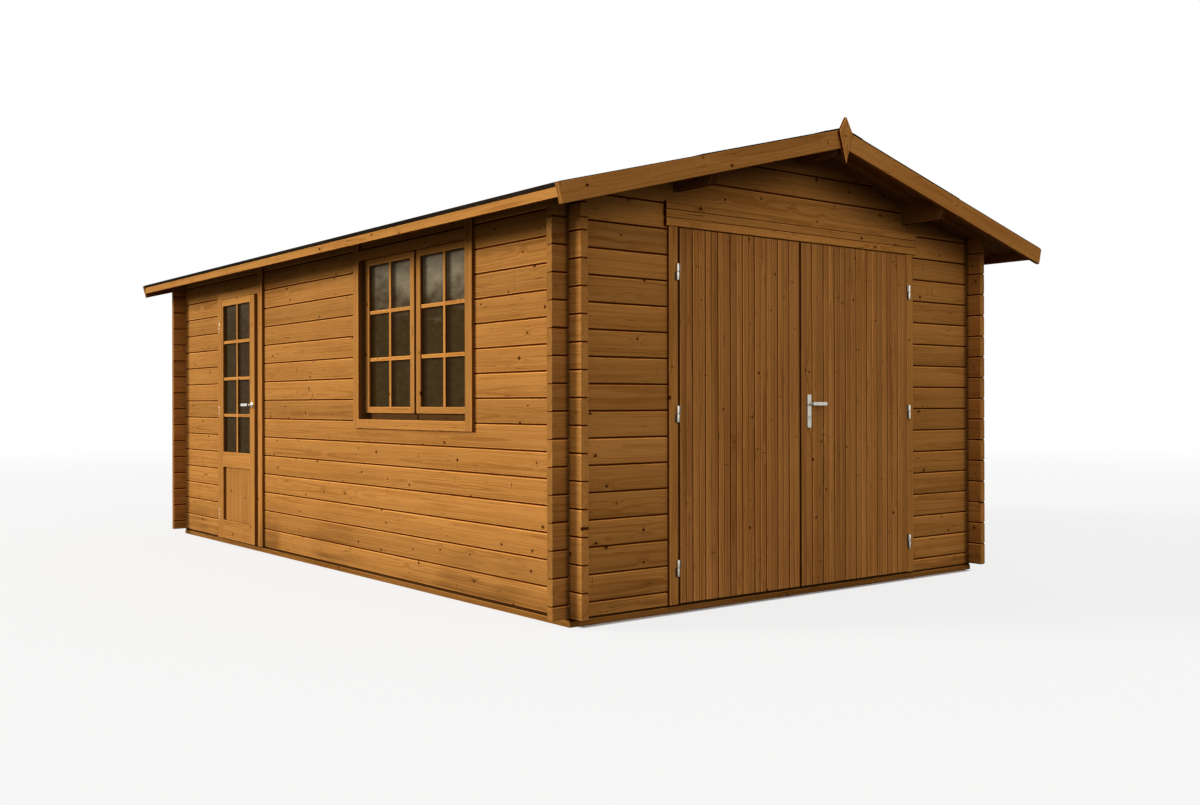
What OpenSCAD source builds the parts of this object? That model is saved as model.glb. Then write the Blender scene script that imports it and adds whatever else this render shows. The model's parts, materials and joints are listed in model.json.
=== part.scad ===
// Wooden garage of interlocking logs: double door in the front gable, window and half-glazed door in the left
// wall. +X runs to the right along the front, the front faces -Y, and the ground is at z = 0. The origin is
// under the middle of the whole building. All sizes are in millimetres.

/* [Walls] */
// Width over the outer faces of the side walls
wall_w = 3300; // [3200:10:3400]
// Depth over the outer faces of the front and back walls
wall_l = 5500; // [5300:10:5900]
// Height of a side wall's outer face above the ground
wall_h = 2155; // [2145:5:2200]
// Thickness of a log
wall_t = 44; // [40:1:48]
// Height of one course of logs
log_h = 135; // [134:1:136]
// Length of the log ends outside a corner
log_over = 100; // [80:5:110]
// Height of the base beams
base_h = 45; // [40:1:50]

/* [Roof] */
// Pitch of the roof in degrees
roof_pitch = 14.7; // [14:0.1:16]
// Thickness of the roof boards
roof_t = 19; // [16:1:22]
// Overhang of the roof boards past a side wall
eave_over = 287; // [240:1:320]
// Overhang of the roof boards past the front wall
front_over = 303; // [260:1:340]
// Overhang of the roof boards past the back wall
back_over = 110; // [110:1:160]

/* [Garage door] */
// Width over both leaves
garage_w = 1890; // [1800:10:1950]
// Distance from the middle of the front wall to where the leaves meet, to the left
meeting_left = 24; // [0:1:60]
// Gap between the two leaves
meeting_gap = 6; // [5:1:8]

/* [Window] */
// Distance from the front wall's outer face to the opening in the left wall
window_y = 900; // [850:10:950]
// Length of the opening in the left wall
window_l = 1340; // [1300:10:1400]
// Height of the opening's lower edge above the ground
window_z = 970; // [950:5:990]

/* [Side door] */
// Distance from the front wall's outer face to the door leaf
side_y = 3853; // [3800:1:3900]
// Width of the door leaf
side_w = 712; // [690:1:740]

/* [Hidden] */

// Colours
stain = "peru";
dark_stain = "saddlebrown";
door_stain = "sienna";
felt_black = "dimgray";
steel = "silver";
pane = "darkslategray";

// Logs: half height and depth of the V at each seam
seam_h = 4;
seam_d = 4;

// Base beams
base_in = 6;
base_t = 60;

// Roof pieces
felt_t = 3;
strip_gap = 0.5;
fascia_t = 20;
fascia_h = 47;
barge_t = 24;
barge_h = 103;
barge_past = 16;
finial_t = 20;
finial_w = 108;
finial_up = 88;
finial_down = 171;
finial_drop = 26;
purlin_h = 135;
purlin_x = 947;
purlin_cut = 25;
ridge_purlin_h = 125;

// Heights of the openings, in courses of logs above the base beams
garage_courses = 14.5;
side_courses = 14;
window_courses = 14.75;

// Boards round the openings
casing_t = 20;
frame_t = 30;
overlay = 15;
leaf_gap = 8;
leaf_lap = 10;
garage_casing_w = 60;
header_t = 28;
header_h = 131;
header_past = 22;
header_gap = 6;
side_casing_w = 80;
side_head_h = 50;
side_frame_head = 40;
window_casing_w = 71;
window_head_h = 60;
window_lap = 5;
window_apron = 56;
casing_below_roof = 25;

// Garage leaves: the gap behind the boards, their thickness, and the ledges across their back
board_back = 6;
board_t = 22;
ledge_t = 18;
ledge_h = 95;
ledge_in = 23;
ledge_zs = [190, 830, 1700];

// Window: its frame and the sill board under the sashes, then the sashes
window_frame_d = 70;
rebate = 8;
sill_in = 20;
sill_h = 36;
mullion_in = 15;
sash_in = 30;
sash_t = 34;
sash_lift = 40;
sash_gap = 4;
mullion_w = 26;
stile_w = 48;
rail_h = 38;
glass_in = 15;
glass_t = 4;

// Side door: the gap behind it, its thickness, and the widths of its members
leaf_back = 5;
leaf_t = 38;
side_stile = 86;
side_top_rail = 50;
side_mid_rail = 117;
side_bottom_rail = 142;
side_leaf_drop = 23;
side_panel_h = 415;
panel_in = 20;
panel_t = 14;
side_glass_in = 17;

// Hinges and handles
hinge_r = 8;
hinge_h = 88;
hinge_out = 17;
hinge_clear = 1;
hinge_t = 3;
hinge_plate = 22;
hinge_zs = [236, 1040, 1783];
side_hinge_zs = [236, 1040, 1700];
garage_handle_x = 44;
side_handle_in = 45;
plate_t = 5;
plate_w = 32;
plate_h = 190;
handle_z = 1092;
plate_above = 53;
rose_r = 21;
lever_l = 112;
lever_h = 20;
lever_t = 11;
neck_r = 9;
neck_l = 32;
neck_gap = 0.5;
spindle_r = 4.5;

// Derived places
tan_p = tan(roof_pitch);
cos_p = cos(roof_pitch);
sin_p = sin(roof_pitch);
xw = wall_w / 2;
xe = xw + eave_over;
front_out = front_over + barge_t + finial_t;
back_out = back_over + barge_t + finial_t;
yf = -(wall_l + back_out - front_out) / 2;
yb = yf + wall_l;
ridge_z = wall_h + xw * tan_p;
boards_vt = roof_t / cos_p;
felt_vt = felt_t / cos_p;
roof_y0 = yf - front_over;
roof_y1 = yb + back_over;
high = ridge_z + 200;

garage_top = base_h + garage_courses * log_h;
garage_x = garage_w / 2;
leaf_z0 = base_h + leaf_gap;
garage_leaf_top = garage_top + leaf_lap;
header_z = garage_leaf_top + header_gap;
garage_hinge_x = garage_x + hinge_out;
board_front = board_back + board_t;
meet_x = -meeting_left;
leaf_front = leaf_back + leaf_t;
hinge_in = casing_t + hinge_clear + hinge_r;

side_top = base_h + side_courses * log_h;
side_leaf_top = side_top - side_leaf_drop;
side_end = side_y + side_w;
side_glass_z0 = leaf_z0 + side_bottom_rail + side_panel_h + side_mid_rail;
side_glass_z1 = side_leaf_top - side_top_rail;
side_handle_y = side_y + side_handle_in;
window_top = base_h + window_courses * log_h;
window_end = window_y + window_l;

// Height of the underside of the roof boards at a distance x from the middle
function roof_z(x) = ridge_z - abs(x) * tan_p;

// Heights of the seams in a stack of logs that runs from z0 to z1
function seams(first, z0, z1) =
  [for (z = [first : log_h : z1]) if (z > z0 + 2 * seam_h && z < z1 - 2 * seam_h) z];

// Points up one face of a stack, with a V of depth d at each seam
function face_points(x, d, heights) =
  [for (z = heights) each [[x, z - seam_h], [x + d, z], [x, z + seam_h]]];

function reversed(points) = [for (i = [len(points) - 1 : -1 : 0]) points[i]];

// Cross-section of a stack of logs, with its outer face at x = 0
module stack(z0, z1, first) {
  heights = seams(first, z0, z1);
  polygon(concat(
    [[0, z0]], face_points(0, seam_d, heights), [[0, z1], [wall_t, z1]],
    reversed(face_points(wall_t, -seam_d, heights)), [[wall_t, z0]]
  ));
}

// An outline in the XZ plane, extruded along Y
module along_y(y0, y1) {
  translate([0, y1, 0]) rotate([90, 0, 0]) linear_extrude(y1 - y0) children();
}

// An outline with its own x along Y and its own y along Z, extruded along X
module along_x(x0, x1) {
  translate([x0, 0, 0]) rotate([90, 0, 90]) linear_extrude(x1 - x0) children();
}

module block(x, y, z) {
  translate([x[0], y[0], z[0]]) cube([x[1] - x[0], y[1] - y[0], z[1] - z[0]]);
}

// The space under the roof boards
module under_roof(y0, y1) {
  along_y(y0, y1) polygon([[-xe, 0], [xe, 0], [xe, roof_z(xe)], [0, ridge_z], [-xe, roof_z(xe)]]);
}

module flip_x() { mirror([1, 0, 0]) children(); }

// From the front wall's place to the back wall's
module flip_y() { translate([0, yf + yb, 0]) mirror([0, 1, 0]) children(); }

module both_x() { children(); flip_x() children(); }

// Logs of the left wall between two distances from the front wall
module side_logs(y0, y1, z0, z1) {
  color(stain) intersection() {
    translate([-xw, 0, 0]) along_y(yf + y0, yf + y1) stack(z0, z1, base_h + log_h);
    under_roof(yf + y0, yf + y1);
  }
}

// Logs of the front wall; they start with a log of half height
module end_logs(x0, x1, z0, z1) {
  color(dark_stain) intersection() {
    translate([0, yf, 0]) along_x(x0, x1) stack(z0, z1, base_h + log_h / 2);
    under_roof(yf, yf + wall_t);
  }
}

// Base beams
module base_left() {
  color(dark_stain) block([-xw + base_in, -xw + base_in + base_t], [yf + base_in, yb - base_in], [0, base_h]);
}

module base_right() { flip_x() base_left(); }

module base_front() {
  inner = xw - base_in - base_t;
  color(dark_stain) block([-inner, inner], [yf + base_in, yf + base_in + base_t], [0, base_h]);
}

module base_back() { flip_y() base_front(); }

// Left wall
module left_wall_front() { side_logs(-log_over, window_y, base_h, high); }
module left_wall_below_window() { side_logs(window_y, window_end, base_h, window_z); }
module left_wall_above_window() { side_logs(window_y, window_end, window_top, high); }
module left_wall_middle() { side_logs(window_end, side_y - overlay, base_h, high); }
module left_wall_above_door() { side_logs(side_y - overlay, side_end + overlay, side_top, high); }
module left_wall_back() { side_logs(side_end + overlay, wall_l + log_over, base_h, high); }

module right_wall() { flip_x() side_logs(-log_over, wall_l + log_over, base_h, high); }

// Front and back walls
module gable_logs(x0, x1, z0, z1) {
  difference() {
    end_logs(x0, x1, z0, z1);
    slope_purlin_space();
    flip_x() slope_purlin_space();
    ridge_purlin_space();
  }
}

module front_wall_left() { end_logs(-xw + wall_t, -garage_x - overlay, base_h, garage_top); }
module front_wall_right() { flip_x() front_wall_left(); }
module front_gable() { gable_logs(-xw + wall_t, xw - wall_t, garage_top, high); }
module back_wall() { flip_y() gable_logs(-xw + wall_t, xw - wall_t, base_h, high); }

// Ends of the front and back logs, outside the side walls
module front_log_ends() { both_x() end_logs(xw, xw + log_over, base_h, high); }
module back_log_ends() { flip_y() front_log_ends(); }

// Purlins; the slope purlins run on under the front overhang to a slanted nose
module slope_purlin_space() {
  block([-purlin_x - wall_t / 2, -purlin_x + wall_t / 2], [yf - front_over, yf + wall_t],
        [roof_z(purlin_x) - purlin_h, high]);
}

module ridge_purlin_space() {
  block([-wall_t / 2, wall_t / 2], [yf - front_over, yf + wall_t], [ridge_z - ridge_purlin_h, high]);
}

module purlin(x, z0) {
  y0 = roof_y0;
  color(dark_stain) intersection() {
    along_x(x - wall_t / 2, x + wall_t / 2) polygon([
      [y0 + purlin_cut, z0], [roof_y1, z0], [roof_y1, high], [y0, high], [y0, z0 + 2 * purlin_cut]
    ]);
    under_roof(roof_y0, roof_y1);
  }
}

module ridge_purlin() { purlin(0, ridge_z - ridge_purlin_h); }
module left_purlin() { purlin(-purlin_x, roof_z(purlin_x) - purlin_h); }
module right_purlin() { flip_x() left_purlin(); }

// Roof boards, and the felt over them with a strip of felt down the edge of the boards
module roof_boards_left() {
  color(dark_stain) along_y(roof_y0, roof_y1) polygon([
    [0, ridge_z], [-xe, roof_z(xe)], [-xe, roof_z(xe) + boards_vt], [0, ridge_z + boards_vt]
  ]);
}

module roof_boards_right() { flip_x() roof_boards_left(); }

module roof_felt_left() {
  top = roof_z(xe) + boards_vt;
  color(felt_black) along_y(roof_y0, roof_y1) {
    polygon([
      [0, ridge_z + boards_vt], [-xe, top], [-xe, top + felt_vt], [0, ridge_z + boards_vt + felt_vt]
    ]);
    polygon([
      [-xe, roof_z(xe)], [-xe - felt_t, roof_z(xe)], [-xe - felt_t, top - strip_gap], [-xe, top - strip_gap]
    ]);
  }
}

module roof_felt_right() { flip_x() roof_felt_left(); }

// Fascia under the edge of the boards
module fascia_left() {
  xi = xe - fascia_t;
  color(stain) along_y(roof_y0, roof_y1) polygon([
    [-xe, roof_z(xe)], [-xe, roof_z(xe) - fascia_h], [-xi, roof_z(xe) - fascia_h], [-xi, roof_z(xi)]
  ]);
}

module fascia_right() { flip_x() fascia_left(); }

// Bargeboards, cut square at the lower end
module front_bargeboard_left() {
  xt = xe + barge_past;
  top = boards_vt + felt_vt;
  zt = roof_z(xt) + top;
  color(stain) along_y(roof_y0 - barge_t, roof_y0) polygon([
    [0, ridge_z + top], [-xt, zt], [-xt + barge_h * sin_p, zt - barge_h * cos_p],
    [0, ridge_z + top - barge_h / cos_p]
  ]);
}

module front_bargeboard_right() { flip_x() front_bargeboard_left(); }

// The back overhang is shorter, so the boards are the same pieces in another place
module to_back() { translate([0, roof_y1 + roof_y0, 0]) mirror([0, 1, 0]) children(); }

module back_bargeboard_left() { to_back() front_bargeboard_left(); }
module back_bargeboard_right() { to_back() front_bargeboard_right(); }

module front_finial() {
  zw = ridge_z + boards_vt + felt_vt - finial_drop;
  y0 = roof_y0 - barge_t - finial_t;
  color(stain) along_y(y0, y0 + finial_t) polygon([
    [0, zw + finial_up], [-finial_w / 2, zw], [0, zw - finial_down], [finial_w / 2, zw]
  ]);
}

module back_finial() { to_back() front_finial(); }

// Garage doorway
module garage_casing() {
  x0 = garage_x + leaf_gap;
  color(stain) both_x()
    block([-x0 - garage_casing_w, -x0], [yf - casing_t, yf], [base_h, header_z]);
}

module garage_header() {
  x0 = garage_x + leaf_gap + garage_casing_w + header_past;
  color(stain) block([-x0, x0], [yf - header_t, yf], [header_z, header_z + header_h]);
}

module garage_frame() {
  x0 = garage_x + overlay;
  color(dark_stain) difference() {
    block([-x0, x0], [yf, yf + wall_t], [base_h, garage_top]);
    block([-x0 + frame_t, x0 - frame_t], [yf - 1, yf + wall_t + 1], [base_h - 1, garage_top - frame_t]);
  }
}

// Window in the left wall; a distance y is measured from the front wall and a depth x from the wall's outer face
module in_left_wall(x, y, z) {
  block([-xw + x[0], -xw + x[1]], [yf + y[0], yf + y[1]], z);
}

module window_casing() {
  y0 = window_y + frame_t;
  y1 = window_end - frame_t;
  z0 = window_z + frame_t;
  z1 = window_top - frame_t - window_lap;
  zr = wall_h - casing_below_roof;
  out = [-casing_t, 0];
  color(stain) {
    in_left_wall(out, [y0 - window_casing_w, y0], [z0 - window_apron, zr]);
    in_left_wall(out, [y1, y1 + window_casing_w], [z0 - window_apron, zr]);
    in_left_wall(out, [y0, y1], [z0 - window_apron, z0]);
    in_left_wall(out, [y0, y1], [z1, z1 + window_head_h]);
  }
}

module window_frame() {
  mid = (window_y + window_end) / 2;
  y = [window_y + frame_t, window_end - frame_t];
  z = [window_z + frame_t, window_top - frame_t];
  color(dark_stain) difference() {
    in_left_wall([0, window_frame_d], [window_y, window_end], [window_z, window_top]);
    in_left_wall([-1, sash_in + sash_t], y, z);
    for (side = [[y[0] + rebate, mid - mullion_w / 2 - rebate], [mid + mullion_w / 2 + rebate, y[1] - rebate]])
      in_left_wall([sash_in, window_frame_d + 1], side, [z[0] + sash_lift + sash_gap, z[1] - rebate]);
  }
  color(dark_stain) {
    in_left_wall([sash_in + mullion_in, sash_in + sash_t], [mid - mullion_w / 2, mid + mullion_w / 2], z);
    in_left_wall([sash_in + sill_in, sash_in + sash_t], y, [z[0], z[0] + sill_h]);
  }
}

// One sash: a frame round one opening, which starts at y0
module sash(y0) {
  x = [sash_in, sash_in + sash_t];
  y = [y0, y0 + sash_w];
  z = [sash_z0, sash_z1];
  color(stain) difference() {
    in_left_wall(x, y, z);
    in_left_wall([x[0] - 1, x[1] + 1], [y[0] + stile_w, y[1] - stile_w], [z[0] + rail_h, z[1] - rail_h]);
  }
}

sash_w = (window_l - 2 * frame_t - mullion_w) / 2 - sash_gap;
sash_z0 = window_z + frame_t + sash_lift;
sash_z1 = window_top - frame_t;
front_sash_y = window_y + frame_t + sash_gap;
back_sash_y = window_end - frame_t - sash_gap - sash_w;

module window_sash_front() { sash(front_sash_y); }
module window_sash_back() { sash(back_sash_y); }

module window_glass() {
  color(pane, 0.5) for (y0 = [front_sash_y, back_sash_y])
    in_left_wall([sash_in + glass_in, sash_in + glass_in + glass_t], [y0 + stile_w, y0 + sash_w - stile_w],
                 [sash_z0 + rail_h, sash_z1 - rail_h]);
}

// Side doorway; the board on its front side runs up to the roof
module side_casing() {
  y0 = side_y - leaf_gap;
  y1 = side_end + leaf_gap;
  z1 = side_leaf_top + leaf_gap;
  out = [-casing_t, 0];
  color(stain) {
    in_left_wall(out, [y0 - side_casing_w, y0], [base_h, wall_h - casing_below_roof]);
    in_left_wall(out, [y1, y1 + side_casing_w], [base_h, z1]);
    in_left_wall(out, [y0, y1 + side_casing_w], [z1, z1 + side_head_h]);
  }
}

module side_frame() {
  y = [side_y - overlay, side_end + overlay];
  color(dark_stain) difference() {
    in_left_wall([0, wall_t], y, [base_h, side_top]);
    in_left_wall([-1, wall_t + 1], [y[0] + frame_t, y[1] - frame_t], 
                 [base_h - 1, side_top - side_frame_head]);
  }
}

// A hinge stands at its own origin, with the leaf towards +X and the outside towards -Y
module hinge_fixed(z) {
  half_h = hinge_h / 2 - 1;
  translate([0, 0, z - hinge_h / 2]) {
    cylinder(h = half_h, r = hinge_r, $fn = 48);
    translate([hinge_r - hinge_plate, hinge_r - 1, 0]) cube([hinge_plate, 1 + hinge_clear, half_h]);
  }
}

module hinge_moving(z) {
  half_h = hinge_h / 2 - 1;
  translate([0, 0, z + 1]) {
    cylinder(h = half_h, r = hinge_r, $fn = 48);
    translate([0, -hinge_t, 0]) cube([hinge_out, 2 * hinge_t, half_h]);
    translate([hinge_out - hinge_t, -hinge_t, 0]) cube([hinge_t, hinge_plate, half_h]);
  }
}

module at_garage_hinge() { translate([-garage_hinge_x, yf - hinge_in, 0]) children(); }

// The side door hangs at its back edge, so the hinge is turned to face the front wall
module at_side_hinge() {
  translate([-xw - hinge_in, yf + side_end + hinge_out, 0]) rotate([0, 0, -90]) children();
}

module frame_hinges() {
  color(steel) {
    both_x() at_garage_hinge() for (z = hinge_zs) hinge_fixed(z);
    at_side_hinge() for (z = side_hinge_zs) hinge_fixed(z);
  }
}

module garage_hinges_left() { color(steel) at_garage_hinge() for (z = hinge_zs) hinge_moving(z); }
module garage_hinges_right() { flip_x() garage_hinges_left(); }
module side_hinges() { color(steel) at_side_hinge() for (z = side_hinge_zs) hinge_moving(z); }

// Garage leaves: upright boards, with ledges across their back inside the frame
module garage_boards(x0, x1) {
  color(door_stain) block([x0, x1], [yf - board_front, yf - board_back], [leaf_z0, garage_leaf_top]);
}

module garage_ledges(x0, x1) {
  color(door_stain) for (z = ledge_zs)
    block([x0 + ledge_in, x1 - ledge_in], [yf - board_back, yf - board_back + ledge_t], [z, z + ledge_h]);
}

left_leaf = [-garage_x, meet_x - meeting_gap / 2];
right_leaf = [meet_x + meeting_gap / 2, garage_x];

module garage_leaf_left() { garage_boards(left_leaf[0], left_leaf[1]); }
module garage_ledges_left() { garage_ledges(left_leaf[0], left_leaf[1]); }
module garage_ledges_right() { garage_ledges(right_leaf[0], right_leaf[1]); }

module garage_leaf_right() {
  difference() {
    garage_boards(right_leaf[0], right_leaf[1]);
    at_garage_handle() spindle_hole(board_t);
  }
}

// Side leaf: a frame with one opening for the glass and one for the panel
module side_leaf() {
  x = [-leaf_front, -leaf_back];
  through = [-leaf_front - 1, -leaf_back + 1];
  inner = [side_y + side_stile, side_end - side_stile];
  color(stain) difference() {
    in_left_wall(x, [side_y, side_end], [leaf_z0, side_leaf_top]);
    in_left_wall(through, inner, [side_glass_z0, side_glass_z1]);
    in_left_wall(through, inner, [leaf_z0 + side_bottom_rail, leaf_z0 + side_bottom_rail + side_panel_h]);
    at_side_handle() spindle_hole(leaf_t);
  }
}

module side_panel() {
  color(stain) in_left_wall([-leaf_front + panel_in, -leaf_front + panel_in + panel_t],
    [side_y + side_stile, side_end - side_stile],
    [leaf_z0 + side_bottom_rail, leaf_z0 + side_bottom_rail + side_panel_h]);
}

module side_glass() {
  color(pane, 0.5) in_left_wall([-leaf_front + side_glass_in, -leaf_front + side_glass_in + glass_t],
    [side_y + side_stile, side_end - side_stile], [side_glass_z0, side_glass_z1]);
}

// Handles stand on a face that looks towards -Y, with the lever towards +X; the inner half is behind a leaf of
// thickness t
module both_faces(t) {
  children();
  translate([0, t, 0]) mirror([0, 1, 0]) children();
}

module spindle_hole(t) {
  translate([0, -1, handle_z]) rotate([-90, 0, 0]) cylinder(h = t + 2, r = spindle_r + 0.5, $fn = 48);
}

module neck_hole() {
  translate([0, 1, handle_z]) rotate([90, 0, 0]) cylinder(h = plate_t + 2, r = neck_r + 0.5, $fn = 48);
}

module handle_plates(t) {
  both_faces(t) difference() {
    translate([-plate_w / 2, -plate_t, handle_z + plate_above - plate_h]) cube([plate_w, plate_t, plate_h]);
    neck_hole();
  }
}

module handle_roses(t) {
  both_faces(t) difference() {
    translate([0, 0, handle_z]) rotate([90, 0, 0]) cylinder(h = plate_t, r = rose_r, $fn = 64);
    neck_hole();
  }
}

// Two flat levers with round ends, on necks joined by a spindle
module handle_levers(t) {
  end_r = lever_h / 2;
  translate([0, 0, handle_z]) {
    translate([0, -neck_gap, 0]) rotate([-90, 0, 0]) cylinder(h = t + 2 * neck_gap, r = spindle_r, $fn = 48);
    both_faces(t) {
      translate([0, -neck_gap, 0]) rotate([90, 0, 0]) cylinder(h = neck_l - neck_gap, r = neck_r, $fn = 48);
      translate([0, -neck_l - lever_t, -end_r]) cube([lever_l - end_r, lever_t, lever_h]);
      for (x = [0, lever_l - end_r])
        translate([x, -neck_l, 0]) rotate([90, 0, 0]) cylinder(h = lever_t, r = end_r, $fn = 48);
    }
  }
}

module at_garage_handle() { translate([garage_handle_x, yf - board_front, 0]) children(); }

module at_side_handle() {
  translate([-xw - leaf_front, yf + side_handle_y, 0]) rotate([0, 0, -90]) flip_x() children();
}

module garage_plate() { color(steel) at_garage_handle() handle_plates(board_t); }
module garage_lever() { color(steel) at_garage_handle() handle_levers(board_t); }
module side_plate() { color(steel) at_side_handle() handle_roses(leaf_t); }
module side_lever() { color(steel) at_side_handle() handle_levers(leaf_t); }

base_front();
base_back();
base_left();
base_right();
left_wall_front();
left_wall_below_window();
left_wall_above_window();
left_wall_middle();
left_wall_above_door();
left_wall_back();
right_wall();
back_wall();
front_wall_left();
front_wall_right();
front_gable();
front_log_ends();
back_log_ends();
ridge_purlin();
left_purlin();
right_purlin();
roof_boards_left();
roof_boards_right();
roof_felt_left();
roof_felt_right();
fascia_left();
fascia_right();
front_bargeboard_left();
front_bargeboard_right();
back_bargeboard_left();
back_bargeboard_right();
front_finial();
back_finial();
garage_casing();
garage_header();
garage_frame();
window_casing();
window_frame();
window_sash_front();
window_sash_back();
window_glass();
side_casing();
side_frame();
frame_hinges();
garage_leaf_left();
garage_ledges_left();
garage_hinges_left();
garage_leaf_right();
garage_ledges_right();
garage_hinges_right();
garage_plate();
garage_lever();
side_leaf();
side_panel();
side_glass();
side_hinges();
side_plate();
side_lever();
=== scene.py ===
# %% [markdown]
# # A garage of planed logs
# One room under a low gabled roof: interlocking logs, a double door in the front gable, and a casement
# window and a half-glazed door in the left wall. The measured solids come first. Every piece made here
# stands on one of them, in the same metres and the same frame.

# %% Load the fixed frame
import functools
import json
import math
import random
import bmesh
import bpy
from mathutils import Matrix, Vector


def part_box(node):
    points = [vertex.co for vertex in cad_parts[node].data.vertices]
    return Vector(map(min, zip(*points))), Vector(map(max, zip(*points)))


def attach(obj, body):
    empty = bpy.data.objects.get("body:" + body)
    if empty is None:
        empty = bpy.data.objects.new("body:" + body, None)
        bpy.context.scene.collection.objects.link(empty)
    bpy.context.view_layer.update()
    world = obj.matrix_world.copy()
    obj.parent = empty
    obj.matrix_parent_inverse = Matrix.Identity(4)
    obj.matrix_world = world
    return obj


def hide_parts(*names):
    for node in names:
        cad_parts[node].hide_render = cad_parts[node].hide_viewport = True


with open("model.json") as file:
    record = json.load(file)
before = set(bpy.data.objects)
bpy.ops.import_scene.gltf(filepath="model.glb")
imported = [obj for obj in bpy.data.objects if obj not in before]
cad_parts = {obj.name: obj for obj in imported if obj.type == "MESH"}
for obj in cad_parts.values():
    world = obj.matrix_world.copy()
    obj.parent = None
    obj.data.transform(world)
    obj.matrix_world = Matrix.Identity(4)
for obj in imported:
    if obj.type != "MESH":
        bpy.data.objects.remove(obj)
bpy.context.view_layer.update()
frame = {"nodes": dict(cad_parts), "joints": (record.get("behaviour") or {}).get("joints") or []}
scene = bpy.context.scene

# %% [markdown]
# ## Sizes that the solids share
# A roof is laid out from its pitch and the underside of its boards, and a log wall from its courses. The
# places come from the solids' own boxes, and only the pitch, the course and the thicknesses are written
# down here, as a carpenter would note them on the drawing.

# %% Note the sizes
PITCH = math.radians(14.7)
COURSE = 0.135
ROOF_BOARD = 0.019
LOG_THICK = 0.044
HAIR = 0.0005
base_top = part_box("base_left")[1].z
front_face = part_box("front_wall_left")[0].y
left_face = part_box("left_wall_middle")[0].x
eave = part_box("roof_boards_left")[0]
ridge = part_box("roof_boards_left")[1].z - ROOF_BOARD / math.cos(PITCH)


def roof_height(x):
    return ridge - abs(x) * math.tan(PITCH)


print("underside of the ridge at", round(ridge, 4), "m, eaves at", round(eave.z, 4), "m")

# %% [markdown]
# ## Camera
# A building is best shown from a corner at eye height, with the lens level, so that its upright lines stay
# upright. The camera's three axes are written straight into its matrix.

# %% Make the camera
camera_data = bpy.data.cameras.new("eye_height_camera")
camera_data.sensor_width = 36.0
camera_data.lens = 35.64
camera = bpy.data.objects.new("eye_height_camera", camera_data)
scene.collection.objects.link(camera)
turn = math.radians(38.071)
tilt = math.radians(0.061)
lean = math.radians(-0.122)
ahead = Vector((math.sin(turn) * math.cos(tilt), math.cos(turn) * math.cos(tilt), math.sin(tilt)))
level = Vector((math.cos(turn), -math.sin(turn), 0))
upward = level.cross(ahead)
across_view = level * math.cos(lean) + upward * math.sin(lean)
up_view = upward * math.cos(lean) - level * math.sin(lean)
stand = Matrix.Translation((-5.1022, -7.308, 1.0948))
camera.matrix_world = stand @ Matrix((across_view, up_view, -ahead)).transposed().to_4x4()
scene.camera = camera
print("camera", [round(v, 3) for v in camera.location], "lens", camera_data.lens, "mm")

# %% [markdown]
# ## Node sums as plain expressions
# A material or a Geometry Nodes tree is easier to read as a sum than as a list of links. Each output socket
# is wrapped once, the usual operators add the Math nodes, and one method makes any other node.


# %% Wrap a socket
class Wire:
    def __init__(self, socket):
        self.socket = socket

    @staticmethod
    def pick(sockets, key):
        shown = [s for s in sockets if s.enabled]
        if isinstance(key, int):
            return shown[key]
        return next(s for s in shown if s.name == key)

    @staticmethod
    def node(tree, kind, settings=None, sockets=None, output=0):
        made = tree.nodes.new(kind)
        for name, value in (settings or {}).items():
            setattr(made, name, value)
        for key, value in (sockets or {}).items():
            target = Wire.pick(made.inputs, key)
            for wire in value if isinstance(value, list) else [value]:
                if isinstance(wire, Wire):
                    tree.links.new(wire.socket, target)
                else:
                    target.default_value = wire
        return Wire(Wire.pick(made.outputs, output)) if made.outputs else made

    def other(self, name):
        return Wire(Wire.pick(self.socket.node.outputs, name))

    def square(self):
        return self * self

    def rise(self, start, end):
        """0 before the start, 1 after the end, and a smooth step between them."""
        sockets = {"Value": self, "From Min": start, "From Max": end}
        settings = {"interpolation_type": "SMOOTHSTEP"}
        return Wire.node(self.socket.id_data, "ShaderNodeMapRange", settings, sockets)

    def fall(self, start, end):
        return 1.0 - self.rise(start, end)

    def band(self, start, full, end, gone):
        return self.rise(start, full) - self.rise(end, gone)


def arithmetic(operation, value_first=False):
    """A method that adds one Math node after a wire."""

    def method(self, value):
        pair = {0: value, 1: self} if value_first else {0: self, 1: value}
        return Wire.node(self.socket.id_data, "ShaderNodeMath", {"operation": operation}, pair)

    return method


for name, operation in (
    ("add", "ADD"), ("sub", "SUBTRACT"), ("mul", "MULTIPLY"), ("truediv", "DIVIDE"), ("pow", "POWER"),
):
    setattr(Wire, f"__{name}__", arithmetic(operation))
    setattr(Wire, f"__r{name}__", arithmetic(operation, value_first=True))
for name, operation in (
    ("at_least", "MAXIMUM"), ("at_most", "MINIMUM"), ("above", "GREATER_THAN"), ("below", "LESS_THAN"),
):
    setattr(Wire, name, arithmetic(operation))
print("wires add, multiply and compare")


# %% Name the common nodes
def new_material(name):
    material = bpy.data.materials.new(name)
    material.use_nodes = True
    material.node_tree.nodes.clear()
    return material, functools.partial(Wire.node, material.node_tree)


def vector_sum(make, operation, first, second, output=0):
    return make("ShaderNodeVectorMath", {"operation": operation}, {0: first, 1: second}, output)


def parts(make, vector):
    first = make("ShaderNodeSeparateXYZ", {}, {0: vector}, "X")
    return first, first.other("Y"), first.other("Z")


def length(make, vector):
    return make("ShaderNodeVectorMath", {"operation": "LENGTH"}, {0: vector}, "Value")


def noise(make, where, scale, detail):
    return make("ShaderNodeTexNoise", {}, {"Vector": where, "Scale": scale, "Detail": detail})


def mixed(make, factor, first, second):
    first, second = (c if isinstance(c, Wire) else (*c, 1.0) for c in (first, second))
    return make("ShaderNodeMix", {"data_type": "RGBA"}, {"Factor": factor, "A": first, "B": second})


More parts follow.
